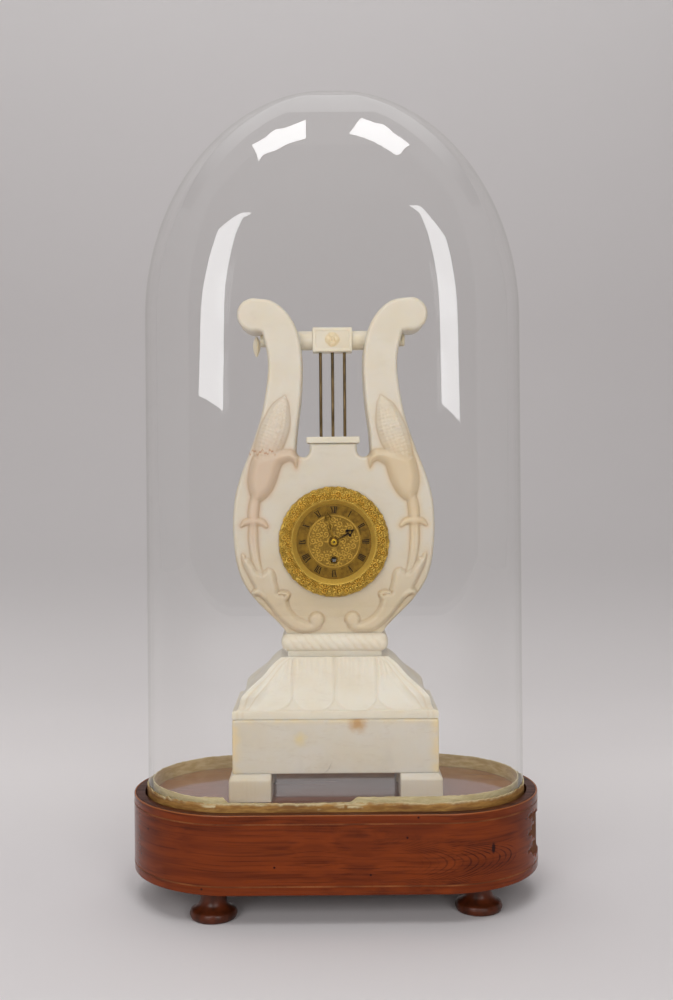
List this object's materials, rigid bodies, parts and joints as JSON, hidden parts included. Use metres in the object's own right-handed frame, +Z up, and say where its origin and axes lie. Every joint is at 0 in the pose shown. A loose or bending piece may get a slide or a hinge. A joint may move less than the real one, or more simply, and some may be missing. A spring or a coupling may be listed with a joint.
{
  "type": "lyre clock",
  "caption": "Carved alabaster lyre timepiece with gilt bezel, hands and pendulum movement, on an oval veneered stand under a lift-off glass dome.",
  "frame": {"origin": "on the floor under the middle of the wooden stand", "axes": "X to the viewer's right, Y to the back (the dial looks to -Y), Z up"},
  "size_m": [0.272, 0.14, 0.5415],
  "materials": {
    "softwood": "stained and waxed",
    "mahogany_veneer": "french polished",
    "stringing": "french polished",
    "turned_wood": "french polished",
    "glass": "blown, clear",
    "paper_band": "worn gilt paper",
    "alabaster": "waxed",
    "dark_brass": "tarnished",
    "ormolu": "fire gilt",
    "chapter": "dull gilt",
    "blued_steel": "blued",
    "brass": "polished",
    "steel": "polished"
  },
  "bodies": {
    "stand": {"base_carcass": "softwood", "side_veneer": "mahogany_veneer", "string_upper": "stringing", "string_lower": "stringing", "bun_foot_1": "turned_wood", "bun_foot_2": "turned_wood", "bun_foot_3": "turned_wood", "bun_foot_4": "turned_wood", "plinth_foot_1": "alabaster", "plinth_foot_2": "alabaster", "plinth_foot_3": "alabaster", "plinth_foot_4": "alabaster", "plinth_block": "alabaster", "leaf_moulding": "alabaster", "rope_moulding": "alabaster", "lyre_body": "alabaster", "string_lip": "alabaster", "yoke_bar": "alabaster", "yoke_block": "alabaster", "yoke_knob": "alabaster", "yoke_collar": "alabaster", "string_1": "dark_brass", "string_2": "dark_brass", "string_3": "dark_brass", "bezel": "ormolu", "dial_plate": "ormolu", "chapter_ring": "chapter", "front_plate": "brass", "back_plate": "brass", "pillar_1": "brass", "pillar_2": "brass", "pillar_3": "brass", "pillar_4": "brass", "back_cock": "brass", "rear_ring": "ormolu", "strap_1": "brass", "strap_2": "brass"},
    "dome": {"glass_dome": "glass", "edging_band": "paper_band"},
    "minute": {"centre_wheel": "brass", "cannon_pinion": "steel", "minute_hand": "blued_steel", "hand_collet": "ormolu"},
    "hour": {"hour_wheel": "brass", "hour_hand": "blued_steel"},
    "minute_work": {"minute_wheel": "brass"},
    "barrel": {"barrel_drum": "brass", "barrel_cover": "brass", "mainspring": "blued_steel"},
    "winding": {"barrel_arbor": "steel", "ratchet_wheel": "steel"},
    "click": {"click": "steel"},
    "third": {"third_wheel": "brass"},
    "fourth": {"fourth_wheel": "brass"},
    "escape": {"escape_wheel": "brass"},
    "anchor": {"pallets": "steel", "crutch": "steel"},
    "pendulum": {"pendulum_rod": "steel", "pendulum_bob": "brass"}
  },
  "joints": [
    {"name": "dome_lift", "type": "slide", "parent": "stand", "child": "dome", "axis": [0, 0, 1], "range_m": [0, 0.36]},
    {"name": "minute_turn", "type": "hinge", "parent": "stand", "child": "minute", "pos_m": [0, 0, 0.2381], "axis": [0, 1, 0], "continuous": true},
    {"name": "hour_turn", "type": "hinge", "parent": "stand", "child": "hour", "pos_m": [0, 0, 0.2381], "axis": [0, 1, 0], "continuous": true},
    {"name": "minute_work_turn", "type": "hinge", "parent": "stand", "child": "minute_work", "pos_m": [-0.0075, 0, 0.2381], "axis": [0, 1, 0], "continuous": true},
    {"name": "barrel_turn", "type": "hinge", "parent": "stand", "child": "barrel", "pos_m": [0, 0, 0.2258], "axis": [0, 1, 0], "continuous": true},
    {"name": "third_turn", "type": "hinge", "parent": "stand", "child": "third", "pos_m": [0.00811, 0, 0.23593], "axis": [0, 1, 0], "continuous": true},
    {"name": "fourth_turn", "type": "hinge", "parent": "stand", "child": "fourth", "pos_m": [0.00789, 0, 0.24432], "axis": [0, 1, 0], "continuous": true},
    {"name": "escape_turn", "type": "hinge", "parent": "stand", "child": "escape", "pos_m": [0, 0, 0.24719], "axis": [0, 1, 0], "continuous": true},
    {"name": "winding_turn", "type": "hinge", "parent": "stand", "child": "winding", "pos_m": [0, 0, 0.2258], "axis": [0, 1, 0], "range_deg": [0, 1620]},
    {"name": "click_lift", "type": "hinge", "parent": "stand", "child": "click", "pos_m": [0.0086, 0, 0.2211], "axis": [0, 1, 0], "range_deg": [0, 12], "stiffness_Nm_per_rad": 0.002},
    {"name": "pendulum_swing", "type": "hinge", "parent": "stand", "child": "pendulum", "pos_m": [0, 0.028, 0.25559], "axis": [0, 1, 0], "range_deg": [-4, 4]},
    {"name": "anchor_rock", "type": "hinge", "parent": "stand", "child": "anchor", "pos_m": [0, 0, 0.25559], "axis": [0, 1, 0], "range_deg": [-4, 4]}
  ],
  "couplings": [
    {"joint": "hour_turn", "follows": "minute_turn", "ratio": 0.083333},
    {"joint": "minute_work_turn", "follows": "minute_turn", "ratio": -0.33333},
    {"joint": "barrel_turn", "follows": "minute_turn", "ratio": -0.13889},
    {"joint": "third_turn", "follows": "minute_turn", "ratio": -6},
    {"joint": "fourth_turn", "follows": "minute_turn", "ratio": 36},
    {"joint": "escape_turn", "follows": "minute_turn", "ratio": -216},
    {"joint": "anchor_rock", "follows": "pendulum_swing", "ratio": 1}
  ]
}
